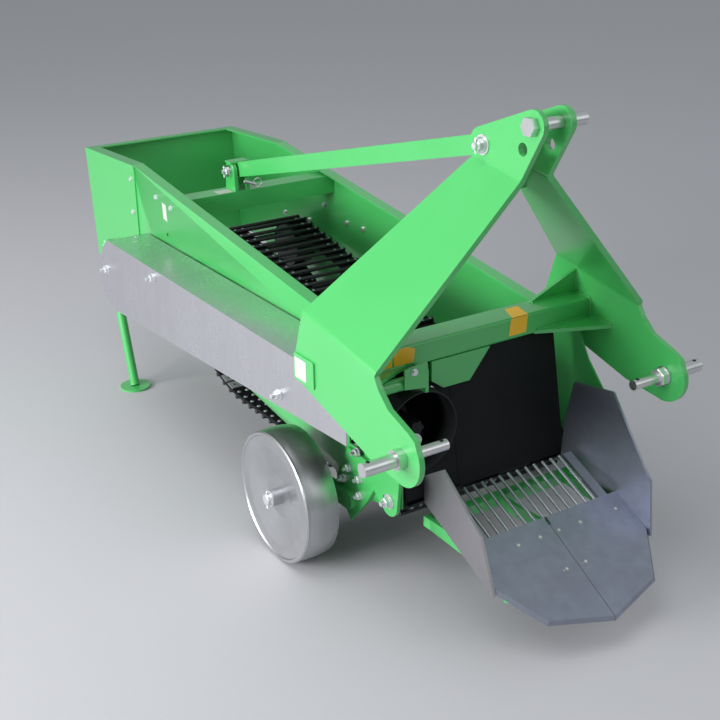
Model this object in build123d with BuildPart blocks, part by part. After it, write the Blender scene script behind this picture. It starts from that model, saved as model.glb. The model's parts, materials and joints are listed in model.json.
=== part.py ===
from build123d import *
import os
from math import atan2, ceil, cos, degrees, hypot, pi, radians, sin, tan

# Single-row potato harvester for a three-point linkage, standing on its gauge wheels and parking legs.
# Millimetres. +Z up, the machine is drawn towards -Y, so -X is its right-hand side (the chain side).
# The pieces are drawn from the hitch: X = 0 is its centre plane, Y = 0 the lower pins' axis, Z = 0 the ground.
# They are written out from the middle of the machine's footprint (see write below).

os.makedirs("parts", exist_ok=True)

# ---------------------------------------------------------------- driving dimensions
FIT = 0.3               # clearance of bolted and pinned pieces that don't turn
RUN = 0.05              # radial running clearance of what turns
RIGHT, LEFT = -1, 1     # the machine's two sides, as signs of X
SIDES = ((RIGHT, "right"), (LEFT, "left"))

# channel: two side walls with a hood behind them
BOX_WIDTH = 488         # over the walls' outer faces
WALL = 4                # sheet thickness
FLANGE = 32             # inward flange along every top edge
SEAM_Y = 1529           # where wall and hood meet
SEAM_Z = 692
SEAM_LAP = 14           # the hood's sides reach forward of the seam, outside the walls
WALL_LAP = 40           # the walls reach behind the seam, inside the hood
WALL_RISE = 0.127       # rise of the walls' top and bottom edges, per mm of length
WALL_DEPTH = 366        # top edge to bottom edge
HOOD_TOP_Y = 1877
HOOD_TOP_Z = 678
HOOD_LOW_Y = 1845
HOOD_LOW_Z = 355

# hitch
HITCH_Z = 467           # height of the lower hitch pins above the ground
HITCH_HALF = 341.5      # centre plane to the lower plates' outer faces
EAR_HALF = 39           # centre plane to the mast ears' outer faces
PLATE = 12              # thickness of the bent hitch plates
BEND_R = 16             # bend radius of both folds
FOLD_RISE = 0.163       # rise of both folds, per mm of length
UPPER_FOLD = (50, 932)  # front end of the fold between ear and sloping panel (y, z)
UPPER_FOLD_RUN = 143
LOWER_FOLD = (87, 605)  # front end of the fold between panel and lower plate
LOWER_FOLD_RUN = 264
TOP_HOLE = (22, 1038)
SPARE_HOLE = (48, 991)
STAY_HOLE = (165, 979)
LOWER_PIN_R_OUT = 14    # category 2 end, outside
LOWER_PIN_R_IN = 11     # category 1 end, inside
TOP_PIN_R = 12.5
STAY_PIN_R = 10

# front beam between the lower hitch plates
BEAM_Y = (234, 304)
BEAM_Z = (522, 572)
BEAM_WALL = 4

# rear cross beam and the stay that ties the mast to it
REAR_BEAM_Y = 1245
REAR_BEAM_DEEP = 60
REAR_BEAM_HIGH = 50
STAY_REAR = (1272, 702)
STAY_THICK = 12
STAY_DEEP = 40

# conveyor web
ROLLER = (280, 228)     # front roller's centre (y, z)
ROLLER_R = 46
DRIVE = (1395, 420)     # drive shaft's centre (y, z)
DRIVE_R = 62
SHAFT_R = 17.5
BELT = 8                # belt thickness
BELT_WIDE = 60
ROD = 11                # rods' width over flats
ROD_PITCH = 36
SAG_R = 350             # curve of the slack lower strand
SAG_TURN = 27           # degrees between its flat part and the climb to the drive

# chain guard, which has to pass inside the right-hand hitch plate and sets the channel off to the left
GUARD_PLAY = 6.5        # hitch plate's inner face to the guard
GUARD_WIDE = 120
WALL_PLAY = 9           # guard's inner edge to the wall
CHAIN_IN = 38           # guard's outer face to the chain
CHAIN_WIDE = 12
PINION = (360, 462)     # sprocket on the gearbox's output shaft (y, z)
PINION_R = 24
CROWN_R = 45            # sprocket on the drive shaft

# gearbox and its input, which takes the tractor's shaft from the front
INPUT_IN = 47           # right-hand wall's outer face to the input shaft's axis
INPUT_Z = 383
CONE_Y = 208            # mouth of the rubber cone
CONE_R = 91
GEARBOX_Y = (304, 412)
GUARD_SHEET = 3

# gauge wheels and their arms
WHEEL_R = 155
WHEEL_Y = 504
WHEEL_OUT = 152         # channel's outer face to a wheel's outer face
AXLE_R = 12.5

# parking legs
LEG_R = 13.5
LEG_RAKE = 16           # degrees that the legs lean back from the foot up
LEG_FOOT_Y = 1593
LEG_LENGTH = 450
LEG_GAP = 25            # channel's outer face to a leg's axis
FOOT_R = 45

# share: two halves side by side, in a plane that rises to the rear
SHARE_REAR = (39, 198)  # rear edge of the top face (y, z)
SHARE_TIP = (-189, 74)
SHARE_THICK = 8
SHARE_BEVEL = 7         # depth of the sharpened nose
SHARE_IN = 35           # channel's outer face to the share's side corners
SHARE_CORNER = (-62, BOX_WIDTH / 2 - SHARE_IN)  # y and half-width of the side corners
SHARE_NOSE = (-151, SHARE_CORNER[1] - 63)       # y and half-width of the nose's corners
BAR_END = (160, 252)    # rear ends of the bars behind the share
BAR_COUNT = 13
BAR_HALF = BOX_WIDTH / 2 - 100.5    # centre plane to the outermost bar

PLATE_IN = HITCH_HALF - PLATE
GUARD_OUT = GUARD_PLAY - PLATE_IN
GUARD_IN = GUARD_OUT + GUARD_WIDE
CHAIN_X = GUARD_OUT + CHAIN_IN
BOX_RIGHT = GUARD_IN + WALL_PLAY
BOX_LEFT = BOX_RIGHT + BOX_WIDTH
BOX_X = BOX_RIGHT + BOX_WIDTH / 2   # centre plane of the channel
WALL_IN = BOX_WIDTH / 2 - WALL
INPUT_X = BOX_RIGHT + INPUT_IN
WHEEL_FACE = BOX_WIDTH / 2 + WHEEL_OUT
PIN_END = HITCH_HALF + 88
HUB_END = WHEEL_FACE + 18
MIDDLE_X = (BOX_X + HUB_END - PIN_END) / 2
share_angle = atan2(SHARE_REAR[1] - SHARE_TIP[1], SHARE_REAR[0] - SHARE_TIP[0])
MIDDLE_Y = (HOOD_TOP_Y + SHARE_TIP[0] + SHARE_BEVEL * sin(share_angle)) / 2


def wall_top(y):
    """Height of the side walls' top edge at y."""
    return SEAM_Z - (SEAM_Y - y) * WALL_RISE


def write(builder, name):
    """Label a finished piece, move it into the machine's frame and write it to its own STEP file."""
    piece = Pos(-MIDDLE_X, -MIDDLE_Y, 0) * builder.part
    piece.label = name
    export_step(piece, f"parts/{name}.step")


def side_plane(x):
    """Plane across X at x, whose sketch coordinates are (y, z); extrude goes towards +X."""
    return Plane.YZ.offset(x)


def face_x(side, distance):
    """X of a plane at a distance from the channel's centre plane, on one side."""
    return BOX_X + side * distance


# ---------------------------------------------------------------- side walls and hood
WALL_OUTLINE = [
    (BEAM_Y[1], wall_top(BEAM_Y[1])),
    (SEAM_Y, SEAM_Z),
    (SEAM_Y, SEAM_Z - 2 * WALL),
    (SEAM_Y + WALL_LAP, SEAM_Z - 3 * WALL),
    (SEAM_Y + WALL_LAP, SEAM_Z - WALL_DEPTH + WALL_LAP * WALL_RISE + 8),
    (SEAM_Y, SEAM_Z - WALL_DEPTH),
    (200, wall_top(200) - WALL_DEPTH),
    (178, 158),
    (178, 214),
    (112, 300),
    (128, 385),
    (188, 448),
    (BEAM_Y[0], BEAM_Z[0]),
    (BEAM_Y[1], BEAM_Z[0]),
]
for side, name in SIDES:
    inner = face_x(side, WALL_IN)
    with BuildPart() as wall:
        with BuildSketch(side_plane(inner)):
            Polygon(*WALL_OUTLINE, align=None)
        extrude(amount=side * WALL)
        with BuildSketch(side_plane(inner)):
            Polygon(
                (BEAM_Y[1], wall_top(BEAM_Y[1])),
                (SEAM_Y, SEAM_Z),
                (SEAM_Y, SEAM_Z - WALL),
                (BEAM_Y[1], wall_top(BEAM_Y[1]) - WALL),
                align=None,
            )
        extrude(amount=-side * (FLANGE - WALL))
        for (y, z), radius in ((DRIVE, SHAFT_R), (ROLLER, AXLE_R)):
            with Locations(Pos(inner, y, z)):
                Cylinder(radius + FIT, 3 * WALL, rotation=(0, 90, 0), mode=Mode.SUBTRACT)
        if side == RIGHT:
            # open in front, where the gearbox and its cone stand in the wall's way
            with BuildSketch(side_plane(inner - 2 * WALL)):
                Polygon(
                    (0, INPUT_Z - 97),
                    (GEARBOX_Y[1] + 4, INPUT_Z - 97),
                    (GEARBOX_Y[1] + 4, BEAM_Z[0] - 42),
                    (BEAM_Y[1], BEAM_Z[0] - 42),
                    (BEAM_Y[1], BEAM_Z[0] + 1),
                    (0, BEAM_Z[0] + 1),
                    align=None,
                )
            extrude(amount=4 * WALL, mode=Mode.SUBTRACT)
    write(wall, f"side_wall_{name}")

with BuildPart() as hood:
    with BuildSketch(side_plane(BOX_RIGHT - WALL)):
        Polygon(
            (SEAM_Y - SEAM_LAP, SEAM_Z - 3),
            (SEAM_Y, SEAM_Z),
            (HOOD_TOP_Y, HOOD_TOP_Z),
            (HOOD_LOW_Y, HOOD_LOW_Z),
            (SEAM_Y + 214, HOOD_LOW_Z - 2),
            (SEAM_Y - SEAM_LAP, SEAM_Z - WALL_DEPTH),
            align=None,
        )
    extrude(amount=BOX_WIDTH + 2 * WALL)
    with BuildSketch(side_plane(BOX_RIGHT)):
        Polygon(
            (SEAM_Y - SEAM_LAP - 1, SEAM_Z + WALL),
            (SEAM_Y, SEAM_Z + WALL),
            (SEAM_Y, SEAM_Z - WALL),
            (HOOD_TOP_Y - WALL, HOOD_TOP_Z - WALL),
            (HOOD_LOW_Y - WALL, HOOD_LOW_Z - 10),
            (SEAM_Y - SEAM_LAP - 1, SEAM_Z - WALL_DEPTH - 10),
            align=None,
        )
    extrude(amount=BOX_WIDTH, mode=Mode.SUBTRACT)
    with BuildSketch(Plane.XY.offset(HOOD_TOP_Z - 20)):
        with Locations((BOX_X, (SEAM_Y - 1 + HOOD_TOP_Y - FLANGE) / 2)):
            Rectangle(BOX_WIDTH - 2 * FLANGE, HOOD_TOP_Y - FLANGE - SEAM_Y + 1)
    extrude(amount=60, mode=Mode.SUBTRACT)
write(hood, "rear_hood")

# ---------------------------------------------------------------- cross beams
with BuildPart() as front_beam:
    with BuildSketch(side_plane(-PLATE_IN)):
        with Locations((sum(BEAM_Y) / 2, sum(BEAM_Z) / 2)):
            RectangleRounded(BEAM_Y[1] - BEAM_Y[0], BEAM_Z[1] - BEAM_Z[0], 6)
            RectangleRounded(
                BEAM_Y[1] - BEAM_Y[0] - 2 * BEAM_WALL,
                BEAM_Z[1] - BEAM_Z[0] - 2 * BEAM_WALL,
                3,
                mode=Mode.SUBTRACT,
            )
    extrude(amount=2 * PLATE_IN)
write(front_beam, "front_beam")

GUSSET = 8
for side, name in SIDES:
    with BuildPart() as gusset:
        with BuildSketch(Plane.XZ.offset(-(BEAM_Y[1] - 12))):
            Polygon(
                (side * (PLATE_IN - 135), BEAM_Z[1]),
                (side * PLATE_IN, BEAM_Z[1]),
                (side * PLATE_IN, BEAM_Z[1] + 55),
                align=None,
            )
        extrude(amount=GUSSET)
        with BuildSketch(Plane.XY.offset(BEAM_Z[0])):
            Polygon(
                (side * (PLATE_IN - 160), BEAM_Y[0]),
                (side * PLATE_IN, BEAM_Y[0]),
                (side * PLATE_IN, BEAM_Y[0] - 72),
                align=None,
            )
        extrude(amount=GUSSET)
    write(gusset, f"beam_gussets_{name}")

rear_beam_z = wall_top(REAR_BEAM_Y) - WALL - 3
with BuildPart() as rear_beam:
    with BuildSketch(side_plane(face_x(RIGHT, WALL_IN))):
        with Locations((REAR_BEAM_Y + REAR_BEAM_DEEP / 2, rear_beam_z - REAR_BEAM_HIGH / 2)):
            Rectangle(REAR_BEAM_DEEP, REAR_BEAM_HIGH)
            Rectangle(REAR_BEAM_DEEP - 2 * WALL, REAR_BEAM_HIGH - 2 * WALL, mode=Mode.SUBTRACT)
    extrude(amount=2 * WALL_IN)
write(rear_beam, "rear_cross_beam")

# ---------------------------------------------------------------- bent hitch plates
fold_angle = atan2(FOLD_RISE, 1)


def fold_height(point):
    """Distance of a (y, z) point from the fold direction, measured square to it."""
    return point[1] * cos(fold_angle) - point[0] * sin(fold_angle)


upper_fold_end = (UPPER_FOLD[0] + UPPER_FOLD_RUN, UPPER_FOLD[1] + UPPER_FOLD_RUN * FOLD_RISE)
lower_fold_end = (LOWER_FOLD[0] + LOWER_FOLD_RUN, LOWER_FOLD[1] + LOWER_FOLD_RUN * FOLD_RISE)
END_R = 57
PANEL_DROP = 5          # inner folds lie this much lower than the outer ones
for side, name in SIDES:
    bend_plane = Plane(origin=(0, 0, 0), x_dir=(1, 0, 0), z_dir=(0, -cos(fold_angle), -sin(fold_angle)))
    with BuildPart() as arm:
        with BuildSketch(bend_plane):
            with BuildLine():
                outer = FilletPolyline(
                    (side * EAR_HALF, 1150),
                    (side * EAR_HALF, fold_height(UPPER_FOLD)),
                    (side * HITCH_HALF, fold_height(LOWER_FOLD)),
                    (side * HITCH_HALF, 250),
                    radius=BEND_R,
                )
                inner = FilletPolyline(
                    (side * (EAR_HALF - PLATE), 1150),
                    (side * (EAR_HALF - PLATE), fold_height(UPPER_FOLD) - PANEL_DROP),
                    (side * (HITCH_HALF - PLATE), fold_height(LOWER_FOLD) - PANEL_DROP),
                    (side * (HITCH_HALF - PLATE), 250),
                    radius=BEND_R,
                )
                Line(outer @ 0, inner @ 0)
                Line(outer @ 1, inner @ 1)
            make_face()
        extrude(amount=700, both=True)
        with BuildSketch(side_plane(-400)) as silhouette:
            with BuildSketch(mode=Mode.PRIVATE) as ear:
                with Locations(TOP_HOLE):
                    Circle(30)
                with Locations((STAY_HOLE[0] + 6, STAY_HOLE[1] - 1)):
                    Circle(34)
                Polygon(UPPER_FOLD, upper_fold_end, STAY_HOLE, align=None)
                make_hull()
            add(ear.sketch)
            Polygon(UPPER_FOLD, upper_fold_end, lower_fold_end, LOWER_FOLD, align=None)
            with Locations((0, HITCH_Z)):
                Circle(END_R)
            Polygon(
                lower_fold_end,
                (389, 535),
                (357, 485),
                (110, 421),
                (10, HITCH_Z - END_R + 1),
                (-49, HITCH_Z + 28),
                (-40, 515),
                (-20, 525),
                (45, 547),
                (77, 576),
                (90, 597),
                LOWER_FOLD,
                align=None,
            )
        extrude(amount=800, mode=Mode.INTERSECT)
        holes = (
            (TOP_HOLE, TOP_PIN_R + FIT),
            (SPARE_HOLE, TOP_PIN_R + FIT),
            (STAY_HOLE, STAY_PIN_R + FIT),
        )
        for (y, z), radius in holes:
            with Locations(Pos(side * EAR_HALF, y, z)):
                Cylinder(radius, 60, rotation=(0, 90, 0), mode=Mode.SUBTRACT)
        with Locations(Pos(side * HITCH_HALF, 0, HITCH_Z)):
            Cylinder(LOWER_PIN_R_IN + FIT, 60, rotation=(0, 90, 0), mode=Mode.SUBTRACT)
    write(arm, f"hitch_plate_{name}")

def panel_inside(y, z):
    """Distance from the centre plane to the sloping panel's inner face, at a height between the folds."""
    upper = UPPER_FOLD[1] + (y - UPPER_FOLD[0]) * FOLD_RISE
    lower = LOWER_FOLD[1] + (y - LOWER_FOLD[0]) * FOLD_RISE
    return EAR_HALF - PLATE + (upper - PANEL_DROP - z) * (HITCH_HALF - EAR_HALF) / (upper - lower)


BRACE_Y = 70
BRACE_Z = (880, 912)
with BuildPart() as mast_brace:
    with BuildSketch(Plane.XZ.offset(-BRACE_Y)):
        low, high = (panel_inside(BRACE_Y, z) for z in BRACE_Z)
        Polygon((-low, BRACE_Z[0]), (low, BRACE_Z[0]), (high, BRACE_Z[1]), (-high, BRACE_Z[1]), align=None)
    extrude(amount=-8)
write(mast_brace, "mast_brace")

# ---------------------------------------------------------------- pins
for side, name in SIDES:
    with BuildPart() as pin:
        # collar on the outside, nut and washer on the inside
        stack = (
            # start, end, radius, all measured outwards from the plate's outer face
            (0, 18, 20),
            (18, PIN_END - HITCH_HALF, LOWER_PIN_R_OUT),
            (-PLATE - 90, 0, LOWER_PIN_R_IN),
            (-PLATE - 5, -PLATE, 21),
            (-PLATE - 22, -PLATE - 5, 17),
        )
        for start, end, radius in stack:
            with BuildSketch(side_plane(side * (HITCH_HALF + start))):
                with Locations((0, HITCH_Z)):
                    Circle(radius)
            extrude(amount=side * (end - start))
    write(pin, f"lower_hitch_pin_{name}")

with BuildPart() as top_pin:
    with BuildSketch(side_plane(-EAR_HALF)):
        with Locations(TOP_HOLE):
            Circle(TOP_PIN_R)
    extrude(amount=2 * EAR_HALF + 45)
    with BuildSketch(side_plane(-EAR_HALF)):
        with Locations(TOP_HOLE):
            RegularPolygon(19, 6)
    extrude(amount=-14)
write(top_pin, "top_link_pin")

# ---------------------------------------------------------------- stay from the mast to the rear beam
stay_angle = degrees(atan2(STAY_REAR[1] - STAY_HOLE[1], STAY_REAR[0] - STAY_HOLE[0]))
stay_length = hypot(STAY_REAR[0] - STAY_HOLE[0], STAY_REAR[1] - STAY_HOLE[1])
with BuildPart() as stay:
    with BuildSketch(side_plane(-STAY_THICK / 2)):
        with Locations(
            Location(((STAY_REAR[0] + STAY_HOLE[0]) / 2, (STAY_REAR[1] + STAY_HOLE[1]) / 2), stay_angle)
        ):
            SlotCenterToCenter(stay_length, STAY_DEEP)
        with Locations(STAY_HOLE, STAY_REAR):
            Circle(STAY_PIN_R + FIT, mode=Mode.SUBTRACT)
    extrude(amount=STAY_THICK)
write(stay, "stay_bar")

with BuildPart() as stay_pins:
    for place, half in ((STAY_HOLE, EAR_HALF), (STAY_REAR, 22)):
        with BuildSketch(side_plane(-half - 8)):
            with Locations(place):
                Circle(STAY_PIN_R)
        extrude(amount=2 * half + 18)
        for start, amount in ((-half, -8), (half, 10)):
            with BuildSketch(side_plane(start)):
                with Locations(place):
                    Circle(STAY_PIN_R + 6)
            extrude(amount=amount)
write(stay_pins, "stay_pins")

LUG = 10
with BuildPart() as lug:
    for side in (RIGHT, LEFT):
        with BuildSketch(side_plane(side * (22 - LUG / 2) - LUG / 2)):
            with Locations(STAY_REAR):
                Circle(24)
            Polygon(
                (STAY_REAR[0] - 24, STAY_REAR[1]),
                (STAY_REAR[0] + 24, STAY_REAR[1]),
                (STAY_REAR[0] + 28, rear_beam_z),
                (STAY_REAR[0] - 27, rear_beam_z),
                align=None,
            )
            with Locations(STAY_REAR):
                Circle(STAY_PIN_R + FIT, mode=Mode.SUBTRACT)
        extrude(amount=LUG)
write(lug, "stay_lug")

# ---------------------------------------------------------------- conveyor web
sag = radians(SAG_TURN)
front_r = ROLLER_R + BELT / 2
drive_r = DRIVE_R + BELT / 2
low_z = ROLLER[1] - front_r
sag_y = DRIVE[0] - ((DRIVE[1] - low_z - SAG_R) * cos(sag) + SAG_R - drive_r) / sin(sag)
run = hypot(DRIVE[0] - ROLLER[0], DRIVE[1] - ROLLER[1])
climb = atan2(DRIVE[1] - ROLLER[1], DRIVE[0] - ROLLER[0])
lean = climb + atan2(front_r - drive_r, (run**2 - (front_r - drive_r) ** 2) ** 0.5) * -1
top_normal = (-sin(lean), cos(lean))


def on_circle(centre, radius, angle):
    return (centre[0] + radius * cos(angle), centre[1] + radius * sin(angle))


front_top = on_circle(ROLLER, front_r, pi / 2 + lean)
drive_top = on_circle(DRIVE, drive_r, pi / 2 + lean)
drive_low = on_circle(DRIVE, drive_r, sag - pi / 2)
front_low = (ROLLER[0], low_z)
sag_start = (sag_y, low_z)
sag_end = (sag_y + SAG_R * sin(sag), low_z + SAG_R * (1 - cos(sag)))
SAG_CENTRE = (sag_y, low_z + SAG_R)
# the belts' centre line: (kind, start, end) or (kind, centre, radius, start angle, turn)
LOOP = (
    ("line", front_top, drive_top),
    ("arc", DRIVE, drive_r, pi / 2 + lean, sag - pi - lean),
    ("line", drive_low, sag_end),
    ("arc", SAG_CENTRE, SAG_R, sag - pi / 2, -sag),
    ("line", sag_start, front_low),
    ("arc", ROLLER, front_r, -pi / 2, lean - pi),
)


def piece_length(piece):
    if piece[0] == "line":
        return hypot(piece[2][0] - piece[1][0], piece[2][1] - piece[1][1])
    return piece[2] * abs(piece[4])


def loop_point(distance):
    """Point (y, z) on the belts' centre line at a distance along it, and the outward direction there."""
    for piece in LOOP:
        length = piece_length(piece)
        if distance <= length:
            share = distance / length
            if piece[0] == "line":
                start, end = piece[1], piece[2]
                point = (start[0] + (end[0] - start[0]) * share, start[1] + (end[1] - start[1]) * share)
                return point, atan2(end[0] - start[0], start[1] - end[1])
            angle = piece[3] + piece[4] * share
            outward = angle if piece[1] != SAG_CENTRE else angle
            return on_circle(piece[1], piece[2], angle), outward
        distance -= length
    return loop_point(0)


BELT_XS = (52 - BOX_WIDTH / 2, 0, BOX_WIDTH / 2 - 52)   # belts, from the channel's centre plane
loop_length = sum(piece_length(piece) for piece in LOOP)
with BuildPart() as belts:
    for belt_x in BELT_XS:
        with BuildSketch(side_plane(BOX_X + belt_x - BELT_WIDE / 2)):
            with BuildLine():
                for piece in LOOP:
                    if piece[0] == "line":
                        Line(piece[1], piece[2])
                    else:
                        centre, radius, start, turn = piece[1:]
                        ThreePointArc(
                            on_circle(centre, radius, start),
                            on_circle(centre, radius, start + turn / 2),
                            on_circle(centre, radius, start + turn),
                        )
            make_face()
            offset(amount=BELT / 2)
            offset(amount=-BELT, mode=Mode.SUBTRACT)
        extrude(amount=BELT_WIDE)
write(belts, "web_belts")

with BuildPart() as rods:
    rod_half = WALL_IN - 18
    rod_count = round(loop_length / ROD_PITCH)
    for i in range(rod_count):
        (y, z), outward = loop_point(loop_length * (i + 0.5) / rod_count)
        y, z = on_circle((y, z), BELT / 2 + ROD / 2, outward)
        with BuildSketch(side_plane(BOX_X - rod_half)):
            with Locations(Location((y, z), degrees(outward))):
                RegularPolygon(ROD / 2, 6, major_radius=False, rotation=30)
        extrude(amount=2 * rod_half)
write(rods, "web_rods")

# ---------------------------------------------------------------- shafts and rollers of the web
with BuildPart() as drive_shaft:
    with BuildSketch(side_plane(CHAIN_X - 8)):
        with Locations(DRIVE):
            Circle(SHAFT_R)
    extrude(amount=BOX_LEFT + 20 - CHAIN_X + 8)
    for belt_x in BELT_XS:
        with BuildSketch(side_plane(BOX_X + belt_x - BELT_WIDE / 2)):
            with Locations(DRIVE):
                Circle(DRIVE_R)
        extrude(amount=BELT_WIDE)
write(drive_shaft, "drive_shaft")

with BuildPart() as front_roller:
    with BuildSketch(side_plane(face_x(RIGHT, BOX_WIDTH / 2 + 9))):
        with Locations(ROLLER):
            Circle(AXLE_R)
    extrude(amount=BOX_WIDTH + 18)
    for belt_x in BELT_XS:
        with BuildSketch(side_plane(BOX_X + belt_x - BELT_WIDE / 2 - 5)):
            with Locations(ROLLER):
                Circle(ROLLER_R)
        extrude(amount=BELT_WIDE + 10)
write(front_roller, "front_roller")

IDLER_R = 25
with BuildPart() as idlers:
    for share in (0.22, 0.47, 0.72):
        y = front_top[0] + (drive_top[0] - front_top[0]) * share - top_normal[0] * (BELT / 2 + IDLER_R)
        z = front_top[1] + (drive_top[1] - front_top[1]) * share - top_normal[1] * (BELT / 2 + IDLER_R)
        with BuildSketch(side_plane(face_x(RIGHT, WALL_IN))):
            with Locations((y, z)):
                Circle(10)
        extrude(amount=2 * WALL_IN)
        for belt_x in BELT_XS:
            with BuildSketch(side_plane(BOX_X + belt_x - BELT_WIDE / 2)):
                with Locations((y, z)):
                    Circle(IDLER_R)
            extrude(amount=BELT_WIDE)
write(idlers, "web_idlers")

# ---------------------------------------------------------------- gearbox, its cone and the input shaft
MOUNT = 12
with BuildPart() as gearbox_mount:
    with BuildSketch(Plane.XY.offset(BEAM_Z[0] - MOUNT)):
        with Locations((INPUT_X, (BEAM_Y[0] + 16 + GEARBOX_Y[1]) / 2)):
            Rectangle(76, GEARBOX_Y[1] - BEAM_Y[0] - 16)
    extrude(amount=MOUNT)
write(gearbox_mount, "gearbox_mount")

INPUT_R = 17.5
OUTPUT_R = 15
INPUT_SEAT = 30
with BuildPart() as gearbox:
    with BuildSketch(Plane.XZ.offset(-GEARBOX_Y[0])):
        with Locations((INPUT_X, INPUT_Z + 14)):
            RectangleRounded(112, 150, 14)
    extrude(amount=GEARBOX_Y[0] - GEARBOX_Y[1])
    with BuildSketch(Plane.XY.offset(BEAM_Z[0] - 52)):
        with Locations((INPUT_X, sum(GEARBOX_Y) / 2)):
            Rectangle(76, 80)
    extrude(amount=52 - MOUNT)
    with BuildSketch(side_plane(CHAIN_X - 5)):
        with Locations(PINION):
            Circle(OUTPUT_R)
    extrude(amount=INPUT_X - CHAIN_X)
    with Locations(Pos(INPUT_X, GEARBOX_Y[0], INPUT_Z)):
        Cylinder(INPUT_R + RUN, 2 * INPUT_SEAT, rotation=(90, 0, 0), mode=Mode.SUBTRACT)
write(gearbox, "gearbox")

SPLINE_Y = 226
with BuildPart() as pto_shaft:
    with BuildSketch(Plane.XZ.offset(-SPLINE_Y)):
        with Locations((INPUT_X, INPUT_Z)):
            Circle(14.5)
        with Locations((INPUT_X, INPUT_Z)):
            with PolarLocations(14.5, 6):
                Rectangle(5.4, 8.6)
    extrude(amount=SPLINE_Y - GEARBOX_Y[0] + 5)
    with BuildSketch(Plane.XZ.offset(5 - GEARBOX_Y[0])):
        with Locations((INPUT_X, INPUT_Z)):
            Circle(INPUT_R)
    extrude(amount=-INPUT_SEAT - 4)
write(pto_shaft, "pto_shaft")

CONE_SHEET = 3
with BuildPart() as cone:
    with BuildSketch(Plane.XY.offset(INPUT_Z)):
        with BuildLine():
            Polyline(
                (INPUT_X + CONE_R, CONE_Y),
                (INPUT_X + CONE_R, CONE_Y + 8),
                (INPUT_X + CONE_R - 4, GEARBOX_Y[0] - 20),
                (INPUT_X + 58, GEARBOX_Y[0] - CONE_SHEET),
                (INPUT_X + 58, GEARBOX_Y[0]),
                (INPUT_X + 30, GEARBOX_Y[0]),
                (INPUT_X + 30, GEARBOX_Y[0] - CONE_SHEET),
                (INPUT_X + 55, GEARBOX_Y[0] - CONE_SHEET),
                (INPUT_X + CONE_R - 4 - CONE_SHEET, GEARBOX_Y[0] - 21),
                (INPUT_X + CONE_R - CONE_SHEET, CONE_Y + 8),
                (INPUT_X + CONE_R - CONE_SHEET, CONE_Y),
                close=True,
            )
        make_face()
    revolve(axis=Axis((INPUT_X, 0, INPUT_Z), (0, 1, 0)))
write(cone, "pto_cone")

with BuildPart() as hanger:
    with BuildSketch(Plane.XZ.offset(-BEAM_Y[0])):
        Polygon(
            (INPUT_X + 43, BEAM_Z[0]),
            (INPUT_X + 196, BEAM_Z[0]),
            (INPUT_X + 143, BEAM_Z[0] - 66),
            (INPUT_X + 74, BEAM_Z[0] - 66),
            (INPUT_X + 43, BEAM_Z[0] - 44),
            align=None,
        )
    extrude(amount=-8)
write(hanger, "beam_hanger")

with BuildPart() as shield_bracket:
    with BuildSketch(side_plane(-PLATE_IN)):
        with Locations((BEAM_Y[0] - 26, BEAM_Z[0] - 17)):
            Circle(14)
    extrude(amount=PLATE_IN + INPUT_X - 3)
    with BuildSketch(side_plane(INPUT_X - 3)):
        with Locations((BEAM_Y[0] - 21, BEAM_Z[0] - 18)):
            Rectangle(42, 50)
    extrude(amount=8)
write(shield_bracket, "shield_bracket")

# ---------------------------------------------------------------- chain drive and its guard
chain_ends = ((PINION, PINION_R), (DRIVE, CROWN_R))
with BuildPart() as sprockets:
    for (centre, radius), bore in zip(chain_ends, (OUTPUT_R, SHAFT_R)):
        with BuildSketch(side_plane(CHAIN_X)):
            with Locations(centre):
                Circle(radius)
                Circle(bore + FIT, mode=Mode.SUBTRACT)
        extrude(amount=CHAIN_WIDE)
write(sprockets, "sprockets")

with BuildPart() as chain:
    with BuildSketch(side_plane(CHAIN_X)):
        for grow, mode in ((8, Mode.ADD), (0, Mode.SUBTRACT)):
            with BuildSketch(mode=Mode.PRIVATE) as loop:
                for centre, radius in chain_ends:
                    with Locations(centre):
                        Circle(radius + grow)
                make_hull()
            add(loop.sketch, mode=mode)
    extrude(amount=CHAIN_WIDE)
write(chain, "drive_chain")

STUDS = ((1456, 432), (1140, 495), (495, 408))
STUD_R = 5
GUARD_TOP = [(223, 518), (1443, 518), (1483, 487), (1507, 384), (1497, 358), (1456, 327), (1423, 319)]
GUARD_LOW = [(1347, 326), (1195, 335), (843, 356), (474, 379), (223, 394)]
with BuildPart() as guard:
    with BuildSketch(side_plane(GUARD_OUT)):
        Polygon(*GUARD_TOP, *GUARD_LOW, align=None)
        with Locations(*STUDS):
            Circle(STUD_R + FIT, mode=Mode.SUBTRACT)
    extrude(amount=GUARD_SHEET)
    with BuildSketch(side_plane(GUARD_OUT)):
        with BuildLine():
            rim = Polyline(*GUARD_TOP)
            offset(rim, amount=GUARD_SHEET, side=Side.RIGHT, kind=Kind.INTERSECTION)
        make_face()
    extrude(amount=GUARD_IN - GUARD_OUT)
write(guard, "chain_guard")

with BuildPart() as studs:
    for place in STUDS:
        with BuildSketch(side_plane(GUARD_OUT - 16)):
            with Locations(place):
                Circle(STUD_R)
        extrude(amount=BOX_RIGHT - GUARD_OUT + 16)
        with BuildSketch(side_plane(GUARD_OUT)):
            with Locations(place):
                RegularPolygon(10, 6)
        extrude(amount=-9)
        with BuildSketch(side_plane(GUARD_OUT + GUARD_SHEET)):
            with Locations(place):
                Circle(9)
        extrude(amount=7)
write(studs, "guard_studs")

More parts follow.
